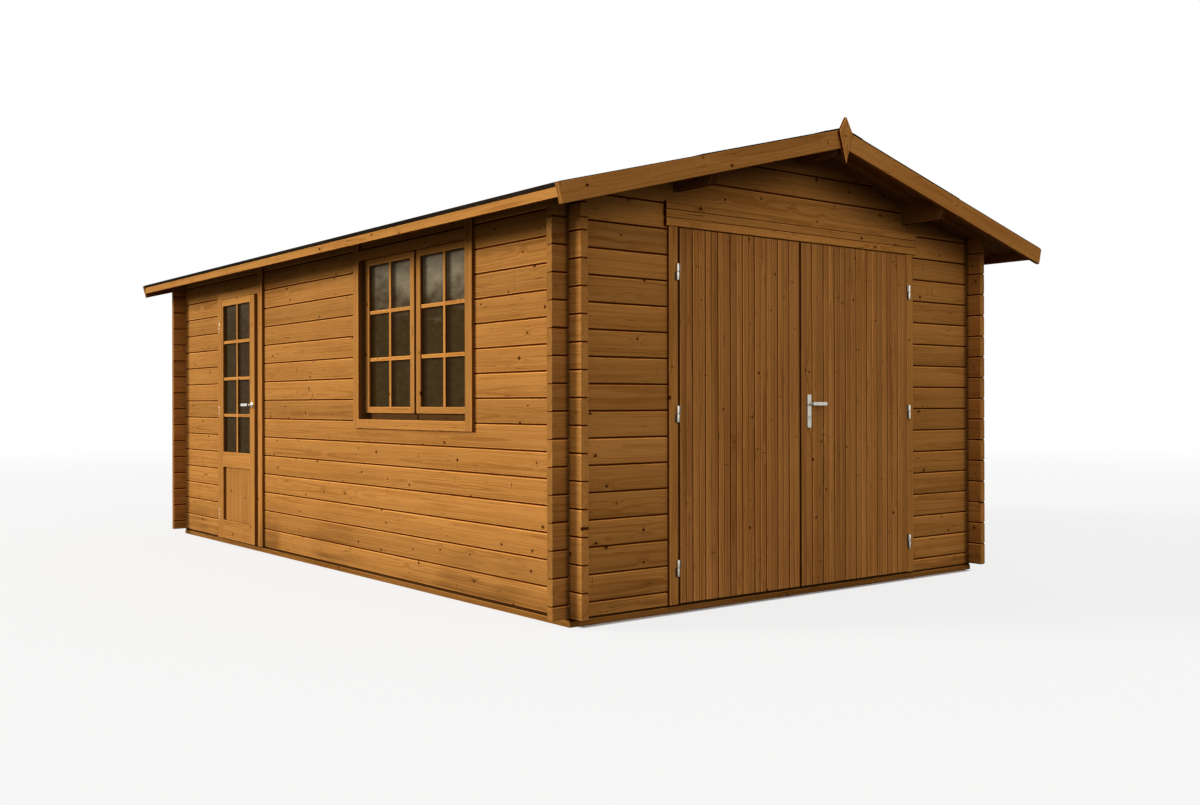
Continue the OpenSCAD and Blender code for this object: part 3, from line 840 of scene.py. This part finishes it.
def roof_boards(node, side, seed, lift):
    edge = -roof_low.x * side
    runs = []
    for number in range(ROOF_BOARDS):
        y = roof_low.y + (number + 0.5) * board_wide
        upper = Vector((-PAST_RIDGE * side, y, ridge + PAST_RIDGE * math.tan(PITCH) + mid_rise))
        lower = Vector((edge * PAST_EAVE, y, roof_height(edge * PAST_EAVE) + mid_rise))
        runs.append((lower, upper, number))
    mesh = milled(
        node + "_run", runs, seed, roof_wood, Wide=board_wide - ROOF_JOINT, Deep=ROOF_BOARD, Arris=0.002,
        Tongue_wide=0.01, Tongue_deep=0.007, Tongue_place=(board_wide / 2, 0.0, 0.0),
        Broad_side_level=1.0, Lift=lift,
    )
    cuts = [(Vector(), X * -side), (X * edge, X * side), (roof_low, -Y), (roof_high, Y)]
    place_piece("boards_" + node, sawn(mesh, cuts), [node])


# The left boards' tone is lowered, a painted shade under the left overhang.
roof_boards("roof_boards_left", -1, 51, -2.6)
roof_boards("roof_boards_right", 1, 52, 0.0)

# %% [markdown]
# ## Edges of the roof
# A narrow fascia closes each eave under the board ends. Two bargeboards cover the gable edge, cut square at
# their feet and meeting at the ridge, where a pointed finial board hides the joint. Their grain follows the
# slope. The top edge is planed down by the thickness of the felt, which laps over it.

# %% Dress the fascias, bargeboards and finials
FELT = 0.003
# The back faces of the fascias and bargeboards are painted nearly black, as shade.
for side, inward in (("left", X), ("right", -X)):
    bench = Bench(60, back=inward)
    bench.solid("fascia_" + side, Y, X, arris=0.002)
    bench.done("fascia_board_" + side, ["fascia_" + side], stained_wood)
for end, inward in (("front", Y), ("back", -Y)):
    for side, way in (("left", -1), ("right", 1)):
        node = f"{end}_bargeboard_{side}"
        bench = Bench(63 + way, back=inward)
        bench.solid(node, (way * math.cos(PITCH), 0, -math.sin(PITCH)), Y, top_cut=FELT)
        bench.done(node + "_board", [node], stained_wood)
    # The finial's narrow sides are painted nearly black, as shade.
    bench = Bench(66, side_shade=1.4)
    bench.solid(end + "_finial", Z, Y, arris=0.003)
    bench.done(end + "_finial_board", [end + "_finial"], stained_wood)

# %% [markdown]
# ## Roofing felt
# Black felt comes in strips a metre wide. Two run along each slope, the upper lapped over the lower, and a
# narrower one is folded over the ridge. At the eaves the felt is turned down over the board ends, and at
# the gables it laps over the bargeboards. A strip is one folded cross-section drawn along the roof.


# %% Mix the felt
def felt_finish():
    material, make = new_material("mineral_felt")
    where = make("ShaderNodeTexCoord", output="Object")
    grit = make("ShaderNodeTexVoronoi", {}, {"Vector": where, "Scale": 420.0}, "Color")
    grit = make("ShaderNodeSeparateColor", {}, {0: grit}, "Red")
    amount = grit * 0.6 + (noise(make, where, 2.2, 3.0) - 0.5) * 0.9 + 0.2
    finish_surface(make, {
        "Base Color": mixed(make, amount, (0.008, 0.0055, 0.0035), (0.03, 0.021, 0.013)),
        "Roughness": 0.82 + grit * 0.12,
        "Normal": make("ShaderNodeBump", {}, {"Strength": 0.6, "Distance": 0.0008, "Height": grit}),
        "Specular IOR Level": 0.0,
    })
    return material


felt = felt_finish()
print("felt mixed")

# %% Lay the felt
FELT_THICK, CAP_THICK = FELT * 0.93, 0.0028
UNDER_LAP, OVER_LAP, RIDGE_LAP = 0.0002, 0.0032, 0.0064
top_of_boards = ROOF_BOARD / math.cos(PITCH)
felt_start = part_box("front_bargeboard_left")[0].y - 0.001
felt_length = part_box("back_bargeboard_left")[1].y + 0.001 - felt_start


def felt_point(x, lift):
    return Vector((x, felt_start, roof_height(x) + top_of_boards + lift / math.cos(PITCH)))


def felt_strip(bench, xs, lift, thick=FELT_THICK, folded=False):
    lower = [felt_point(x, lift) for x in xs]
    upper = [felt_point(x, lift + thick) for x in xs]
    if folded:
        drop = Vector((xs[-1], felt_start, eave.z + 0.001))
        out = X * math.copysign(thick, xs[-1])
        lower.append(drop)
        upper = upper[:-1] + [felt_point(xs[-1] + out.x, lift + thick), drop + out]
    bench.prism(lower + upper[::-1], Y * felt_length, Y, Z, arris=0.0)


for side, way in (("left", -1), ("right", 1)):
    bench = Bench(70)
    felt_strip(bench, [way * 0.98, way * 1.4, -roof_low.x * way], UNDER_LAP, folded=True)
    felt_strip(bench, [way * 0.001, way * 0.5, way * 0.96, way * 1.06], OVER_LAP)
    bench.done(f"roof_felt_{side}_strips", ["roof_felt_" + side], felt)
bench = Bench(71)
felt_strip(bench, [-0.16, 0.0, 0.16], RIDGE_LAP, CAP_THICK)
bench.done("roof_felt_ridge_strip", [], felt)

# %% [markdown]
# ## Boards round the openings
# Frames line the openings through the logs, and wider boards cover the joint outside. An upright stands on
# each side, and the head and the sill board fit between or over them, with the grain along every board.

# %% Frame the garage doorway
GARAGE_BOARD, LINING = 0.06, 0.03
HEADER_STRIPS = 3
HEADER_JOINT = 0.001
bench = Bench(81)
bench.framed(*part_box("garage_casing"), 0, GARAGE_BOARD)
bench.done("garage_door_casing", ["garage_casing"], wall_wood)
low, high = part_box("garage_header")
tall = (high.z - low.z) / HEADER_STRIPS
# The header is lifted to a paler tone as painted light, and its ends are painted nearly black as shade.
bench = Bench(82, lift=0.6, end_shade=1.5)
for strip in range(HEADER_STRIPS):
    bottom = low.z + strip * tall + HEADER_JOINT * (strip > 0)
    top = low.z + (strip + 1) * tall - HEADER_JOINT * (strip < HEADER_STRIPS - 1)
    bench.board((low.x, low.y, bottom), (high.x, high.y, top), "x", arris=0.003)
bench.done("garage_door_header", ["garage_header"], wall_wood)


def lining(bench, low, high, run, with_sill=False):
    rails = [(high.z - LINING, high.z), (low.z, low.z + LINING)]
    bench.framed(low, high, run, LINING, rails[: 1 + with_sill], arris=0.002)


# The lining's tone is lowered far, a painted shade where it shows round the leaves.
bench = Bench(83, lift=-2.0)
lining(bench, *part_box("garage_frame"), 0)
bench.done("garage_door_frame", ["garage_frame"], stained_wood)

# %% Frame the side doorway and the window
SIDE_BOARD, HEAD_BOARD, WINDOW_BOARD, WINDOW_HEAD = 0.08, 0.05, 0.071, 0.06
DOOR_GAP, SASH_GAP = 0.008, 0.004
WINDOW_TOP, SILL = 0.035, 0.036
bench = Bench(84)
lining(bench, *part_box("side_frame"), 1)
bench.done("side_door_frame", ["side_frame"], stained_wood)

leaf_low, leaf_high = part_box("side_leaf")
head_z = leaf_high.z + DOOR_GAP
low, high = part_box("side_casing")
bench = Bench(85)
bench.board(low, (high.x, low.y + SIDE_BOARD, high.z), "z")
bench.board((low.x, high.y - SIDE_BOARD, low.z), (high.x, high.y, head_z), "z")
bench.board((low.x, low.y + SIDE_BOARD, head_z), (high.x, high.y, head_z + HEAD_BOARD), "y")
bench.done("side_door_casing", ["side_casing"], wall_wood)

low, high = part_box("window_casing")
frame_low, frame_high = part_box("window_frame")
inner_low = frame_low.z + LINING
inner_high = frame_high.z - WINDOW_TOP
bench = Bench(86)
boards = [(low.z, inner_low), (inner_high, inner_high + WINDOW_HEAD)]
bench.framed(low, high, 1, WINDOW_BOARD, boards)
bench.done("window_casing_boards", ["window_casing"], wall_wood)

sash_low, sash_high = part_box("window_sash_front")
other_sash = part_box("window_sash_back")[0]
bench = Bench(87)
lining(bench, frame_low, frame_high, 1, with_sill=True)
post_low = (sash_low.x + 0.015, sash_high.y + SASH_GAP, inner_low - HAIR)
bench.board(post_low, (sash_high.x, other_sash.y - SASH_GAP, sash_high.z), "z", arris=0.002)
sill_low = (sash_low.x + 0.02, frame_low.y + LINING, inner_low)
bench.board(sill_low, (sash_high.x, frame_high.y - LINING, inner_low + SILL), "y", arris=0.003)
bench.done("window_frame_boards", ["window_frame"], frame_wood)

# %% [markdown]
# ## Sashes and the side door
# A sash is two stiles with rails between them, and slim glazing bars stand on both faces of the pane. The
# side door is a larger frame of the same kind with a panel below the lock rail. The panes keep their
# solids.


# %% Make the sashes
SASH_STILE, SASH_RAIL, DOOR_STILE = 0.048, 0.038, 0.086
BAR = 0.022
SASH_BARS = (1.375, 1.671)
DOOR_BARS = (1.011, 1.294, 1.578)


def glazing_bars(bench, low, high, pane, levels):
    """One upright bar and a row of short bars at each level, on both faces of the pane."""
    # The bars are lifted to a paler tone, a painted highlight.
    bench.lift = 1.2
    middle = (low.y + high.y) / 2
    left, right = middle - BAR / 2, middle + BAR / 2
    for near, far in ((low.x + 0.007, pane[0].x), (pane[1].x, high.x - 0.006)):
        bench.board((near, left, low.z), (far, right, high.z), "z", arris=0.003)
        for z in levels:
            for start, end in ((low.y, left), (right, high.y)):
                bench.board((near, start, z - BAR / 2), (far, end, z + BAR / 2), "y", arris=0.003)


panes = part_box("window_glass")
for node, seed in (("window_sash_front", 91), ("window_sash_back", 92)):
    low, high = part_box(node)
    bench = Bench(seed)
    bench.framed(low, high, 1, SASH_STILE, [(low.z, low.z + SASH_RAIL), (high.z - SASH_RAIL, high.z)])
    margin = Vector((0, SASH_STILE, SASH_RAIL))
    glazing_bars(bench, low + margin, high - margin, panes, SASH_BARS)
    bench.done(node + "_joinery", [node], stained_wood)

# %% Make the side door leaf
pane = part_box("side_glass")
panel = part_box("side_panel")
bench = Bench(93, lift=0.4)
door_rails = [(leaf_low.z, panel[0].z), (panel[1].z, pane[0].z), (pane[1].z, leaf_high.z)]
bench.framed(leaf_low, leaf_high, 1, DOOR_STILE, door_rails)
clear_low = Vector((leaf_low.x, pane[0].y, pane[0].z))
clear_high = Vector((leaf_high.x, pane[1].y, pane[1].z))
glazing_bars(bench, clear_low, clear_high, pane, DOOR_BARS)
bench.done("side_door_leaf", ["side_leaf"], stained_wood, "side_door")
bench = Bench(94)
bench.board(*panel, "z", arris=0.001)
bench.done("side_door_panel", ["side_panel"], stained_wood, "side_door")

# %% [markdown]
# ## Garage door leaves
# Tongued boards stand side by side, held by three ledges across the back. Each board has a shallow groove
# down its middle, so a leaf shows two strips a board: a fine joint inside the board and a wider one between
# boards. The strips are milled runs once more, and the ledges come from the bench.


# %% Hang the boards and their ledges
LEAF_BOARDS = 10
BOARD_JOINT, STRIP_JOINT = 0.0036, 0.0028
LEDGE, LEDGE_STEP = 0.095, 0.64
OUTER_STRIPS = {"left": {19: -0.005}, "right": {0: 0.005, 19: -0.004}}


def garage_leaf(side, seed):
    node = "garage_leaf_" + side
    body = "garage_door_" + side
    low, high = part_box(node)
    thick = high.y - low.y
    width = (high.x - low.x + BOARD_JOINT) / LEAF_BOARDS
    runs = []
    for number in range(2 * LEAF_BOARDS):
        board, half = divmod(number, 2)
        x = low.x + board * width + (width - BOARD_JOINT) * (0.25 + 0.5 * half)
        x += OUTER_STRIPS[side].get(number, 0.0)
        runs.append(((x, low.y + thick / 2, low.z), (x, low.y + thick / 2, high.z), number))
    mesh = milled(
        node + "_boards", runs, seed, door_wood, Deep=thick, Arris=0.003, Broad_side_level=1.0,
        Wide=(width - BOARD_JOINT) / 2 - STRIP_JOINT,
        Tongue_wide=0.014, Tongue_deep=0.008, Tongue_place=(width / 4, 0.0, 0.0),
    )
    place_piece(node + "_strips", sawn(mesh, [(low, -X), (high, X)]), [node], body)
    ledges = "garage_ledges_" + side
    low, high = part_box(ledges)
    bench = Bench(seed + 1)
    for z in (low.z, low.z + LEDGE_STEP, high.z - LEDGE):
        bench.board((low.x, low.y, z), (high.x, high.y, z + LEDGE), "x", arris=0.003)
    bench.done(ledges + "_boards", [ledges], door_wood, body)


garage_leaf("left", 101)
garage_leaf("right", 103)

# %% [markdown]
# ## Window glass
# A pane is clear, but the room behind it is dark, so it is painted deep brown and shows a thin reflection
# of the sky from its gloss. The upper part of each pane is painted paler, a painted reflection of the sky,
# and a band beside each bar is painted darker, a painted shade of the bar. The panes' own solids stay and
# only get this finish.


# %% Glaze the windows
def glass_finish(name, sky_reflection_share, far_edges, top_edges):
    material, make = new_material(name)
    where = make("ShaderNodeTexCoord", output="Object")
    depth, height = parts(make, where)[1:]
    level = vector_sum(make, "MULTIPLY", where, (3.5, 3.5, 9.0))
    drifts = noise(make, level, 1.0, 4.0)
    fine = noise(make, level, 4.0, 2.0)
    # Painted reflection of the sky: the pane is paler towards the top.
    painted_sky_reflection = (height + (drifts - 0.5) * 0.5 + (fine - 0.5) * 0.05).rise(1.6, 2.06)
    colour = mixed(make, fine * 0.1 + painted_sky_reflection * sky_reflection_share - 0.03, (0.044, 0.025, 0.006), (0.36, 0.3, 0.2))
    # Painted shade: a darker band beside each upright bar and stile, and under each rail and bar.
    shaded = 0.0
    for way, edges, start, full in ((depth, far_edges, 0.075, 0.03), (height, top_edges, 0.02, 0.004)):
        for edge in edges:
            shaded = shaded + way.band(edge - start, edge - full, edge, edge + 0.003)
    finish_surface(make, {
        "Base Color": mixed(make, shaded.at_most(1.0) * 0.85, colour, (0.022, 0.009, 0.002)),
        "Roughness": 0.06 + drifts * 0.05,
        "Transmission Weight": 0.06,
        "IOR": 1.04,
    })
    return material


def glaze(node, sky_reflection_share, leaves, stile, levels, top):
    far_edges = []
    for low, high in leaves:
        far_edges += [(low.y + high.y) / 2 - BAR / 2, high.y - stile]
    top_edges = [z - BAR / 2 for z in levels] + [top]
    mesh = frame["nodes"][node].data
    mesh.materials.clear()
    mesh.materials.append(glass_finish(node + "_pane", sky_reflection_share, far_edges, top_edges))
    print(node, "glazed between", len(far_edges) + len(top_edges), "shading edges")


sashes = [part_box("window_sash_front"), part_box("window_sash_back")]
glaze("window_glass", 0.9, sashes, SASH_STILE, SASH_BARS, sash_high.z - SASH_RAIL)
glaze("side_glass", 0.12, [(leaf_low, leaf_high)], DOOR_STILE, DOOR_BARS, pane[1].z)

# %% [markdown]
# ## Steel fittings
# The hinges are lift-off hinges with round knuckles. The garage handle is a flat lever on a long plate, and
# the side door's is the same lever on a round rose. Satin steel is brushed along the fitting, so its
# roughness varies in fine lines, and its narrow sides and the eased edges turned from the lamp are painted
# dark as shade. The round parts are turned from a profile, and the flat parts have eased edges.


# %% Mix the steel
def steel_finish(name, colour, rough):
    material, make = new_material(name)
    where = make("ShaderNodeTexCoord", output="Object")
    brushed = noise(make, vector_sum(make, "MULTIPLY", where, (900.0, 900.0, 60.0)), 1.0, 1.0)
    tint = mixed(make, noise(make, where, 60.0, 2.0), colour, tuple(c * 0.72 for c in colour))
    finish_surface(make, {
        # Painted shade on narrow sides and on eased edges turned from the lamp.
        "Base Color": mixed(make, attribute(make, "edge").at_least(0.0) * 0.9, tint, (0.035, 0.022, 0.01)),
        "Metallic": 1.0,
        "Roughness": rough + brushed * 0.12,
        "Normal": make("ShaderNodeBump", {}, {"Strength": 0.15, "Distance": 0.0002, "Height": brushed}),
    })
    return material


satin_steel = steel_finish("satin_steel", (0.72, 0.69, 0.61), 0.24)
dark_steel = steel_finish("dark_steel", (0.1, 0.08, 0.06), 0.4)
print("two steels mixed")


# %% Shape round and flat parts
def turned(bench, profile, move, way=Z, count=24):
    """A closed part turned about an axis, from pairs of distance along it and radius."""
    ahead = way * math.copysign(1.0, profile[-1][0] - profile[0][0])
    side = ahead.orthogonal().normalized()
    other = ahead.cross(side)
    spokes = [2 * math.pi * i / count for i in range(count)]
    bm = bmesh.new()
    rows = []
    for along, radius in profile:
        rim = [side * (radius * math.cos(a)) + other * (radius * math.sin(a)) for a in spokes]
        rows.append([bm.verts.new(move @ (way * along + point)) for point in rim])
    for near, far in zip(rows, rows[1:]):
        for i in range(count):
            j = (i + 1) % count
            bm.faces.new((near[i], near[j], far[j], far[i]))
    bm.faces.new(rows[0][::-1])
    bm.faces.new(rows[-1])
    bench.take(bm, Z, X, round_faces=True)


def plate(bench, outline, sweep, move, arris=0.0008):
    bench.prism([move @ Vector(p) for p in outline], move.to_3x3() @ Vector(sweep), Z, None, arris)


def upright(start, end, low, high):
    """The outline of a flat upright part that stands on one line of the plan."""
    return [(*start, low), (*end, low), (*end, high), (*start, high)]


def rounded_plate(width, height, corner, y, steps=5):
    outline = []
    for cx, cz, start in ((1, 1, 0), (-1, 1, 90), (-1, -1, 180), (1, -1, 270)):
        for step in range(steps + 1):
            a = math.radians(start + 90 * step / steps)
            x = cx * (width / 2 - corner) + corner * math.cos(a)
            z = cz * (height / 2 - corner) + corner * math.sin(a)
            outline.append((x, y, z))
    return outline


def screw(bench, place, move, radius):
    head = [(0.0, radius), (0.0008, radius), (0.0016, radius * 0.8), (0.002, radius * 0.35)]
    turned(bench, head, move @ Matrix.Translation(place), -Y, 12)


print("round and flat parts ready")

# %% Fit the hinges
KNUCKLE = [
    (0.0, 0.0066), (0.0008, 0.0078), (0.0024, 0.008),
    (0.0395, 0.008), (0.0415, 0.0074), (0.043, 0.0052),
]
SEAM = 0.001
STRAP_FACE = 0.0065
GARAGE_HEIGHTS, SIDE_HEIGHTS = (0.236, 1.04, 1.783), (0.236, 1.04, 1.7)


def fixed_half(bench, straps, move):
    lower = [(-along, radius) for along, radius in KNUCKLE]
    turned(bench, lower, move @ Matrix.Translation((0, 0, -SEAM)))
    strap = move @ Matrix.Translation((-0.003, 0, -0.0225))
    plate(straps, rounded_plate(0.022, 0.043, 0.004, STRAP_FACE), (0, 0.0025, 0), strap)
    for z in (-0.035, -0.0105):
        screw(straps, (-0.0108, STRAP_FACE, z), move, 0.0024)


def moving_half(bench, move):
    turned(bench, KNUCKLE, move @ Matrix.Translation((0, 0, SEAM)))
    plate(bench, upright((0.004, -0.003), (0.004, 0.003), 0.002, 0.043), (0.011, 0, 0), move)
    plate(bench, upright((0.014, -0.003), (0.014, 0.019), 0.001, 0.044), (0.003, 0, 0), move)
    turned(bench, [(-0.0008, 0.0056), (0.0008, 0.0056)], move)


joints = {joint["name"]: Vector(joint["pos_m"]) for joint in frame["joints"]}
mirrored = Matrix.Scale(-1, 4, X)
quarter_turn = Matrix.Rotation(math.radians(-90), 4, "Z")
fixed = Bench(111)
straps = Bench(113)
for node, door, heights, facing in (
    ("garage_hinges_left", "garage_door_left", GARAGE_HEIGHTS, Matrix()),
    ("garage_hinges_right", "garage_door_right", GARAGE_HEIGHTS, mirrored),
    ("side_hinges", "side_door", SIDE_HEIGHTS, quarter_turn),
):
    moving = Bench(112)
    for z in heights:
        move = Matrix.Translation((joints[door].x, joints[door].y, z)) @ facing
        fixed_half(fixed, straps, move)
        moving_half(moving, move)
    moving.done(node + "_knuckles", [node], satin_steel, door)
fixed.done("frame_hinge_knuckles", ["frame_hinges"], satin_steel)
straps.done("frame_hinge_straps", [], dark_steel)

# %% Fit the handles
PLATE_FACE = -0.005
COLLAR = [(0.0, 0.0132), (0.0022, 0.0132), (0.0034, 0.0118), (0.004, 0.0096)]
LOCK_RING = [(0.0, 0.0088), (0.0022, 0.0088), (0.003, 0.008)]
ROSE = [(0.0, 0.021), (0.0032, 0.021), (0.0046, 0.0196), (0.005, 0.0176)]
NECK = [(0.0002, 0.009), (0.014, 0.0086), (0.033, 0.0088)]
GRIP_LENGTH, GRIP_ROUND, GRIP_BACK, GRIP_DEEP = 0.102, 0.01, -0.032, -0.011
SPINDLE = 0.0044


def on_face(bench, profile, z, move):
    turned(bench, profile, move @ Matrix.Translation((0, PLATE_FACE, z)), -Y)


def long_plate(bench, move):
    lowered = move @ Matrix.Translation((0, 0, -0.042))
    plate(bench, rounded_plate(0.032, 0.19, 0.005, 0.0), (0, PLATE_FACE, 0), lowered, arris=0.0012)
    on_face(bench, COLLAR, 0, move)
    on_face(bench, LOCK_RING, -0.07, move)
    tail = upright((-0.0045, -0.0048), (0.0045, -0.0048), -0.094, -0.075)
    plate(bench, tail, (0, -0.003, 0), move, arris=0.0012)
    for z in (0.042, -0.126):
        screw(bench, (0, PLATE_FACE, z), move, 0.004)


def round_rose(bench, move):
    turned(bench, ROSE, move, -Y, 36)
    on_face(bench, COLLAR, 0, move)


def handle_lever(bench, move):
    turned(bench, NECK, move, -Y)
    half_turn = [math.pi * step / 12 for step in range(13)]
    outline = []
    for centre, way in ((GRIP_LENGTH, 1), (0.0, -1)):
        for a in half_turn:
            x = centre + way * GRIP_ROUND * math.sin(a)
            outline.append((x, GRIP_BACK, way * GRIP_ROUND * math.cos(a)))
    plate(bench, outline, (0, GRIP_DEEP, 0), move, arris=0.0022)


# A sheet of dark steel stands for the key hole, a painted shade of the hole.
def key_slot(bench, move):
    slot = upright((-0.0012, -0.0079), (0.0012, -0.0079), -0.0745, -0.0655)
    plate(bench, slot, (0, -0.0003, 0), move, arris=0.0)


swapped = Matrix(((0, 1, 0, 0), (1, 0, 0, 0), (0, 0, 1, 0), (0, 0, 0, 1)))
for lever, plates, door, handle, facing, thick, shield in (
    ("garage_lever", "garage_plate", "garage_door_right", "garage_handle", Matrix(), 0.022, long_plate),
    ("side_lever", "side_plate", "side_door", "side_handle", swapped, 0.038, round_rose),
):
    outer = Matrix.Translation(joints[lever]) @ facing
    inner = outer @ Matrix.Translation((0, thick, 0)) @ Matrix.Scale(-1, 4, Y)
    plate_bench, lever_bench, slots = Bench(121), Bench(122), Bench(123)
    for move in (outer, inner):
        shield(plate_bench, move)
        handle_lever(lever_bench, move)
        if shield is long_plate:
            key_slot(slots, move)
    turned(lever_bench, [(0.0, SPINDLE), (thick, SPINDLE)], outer, Y)
    plate_bench.done(plates + "_pair", [plates], satin_steel, door)
    lever_bench.done(lever + "_pair", [lever], satin_steel, handle)
    if slots.faces:
        slots.done(plates + "_key_slots", [], dark_steel, door)
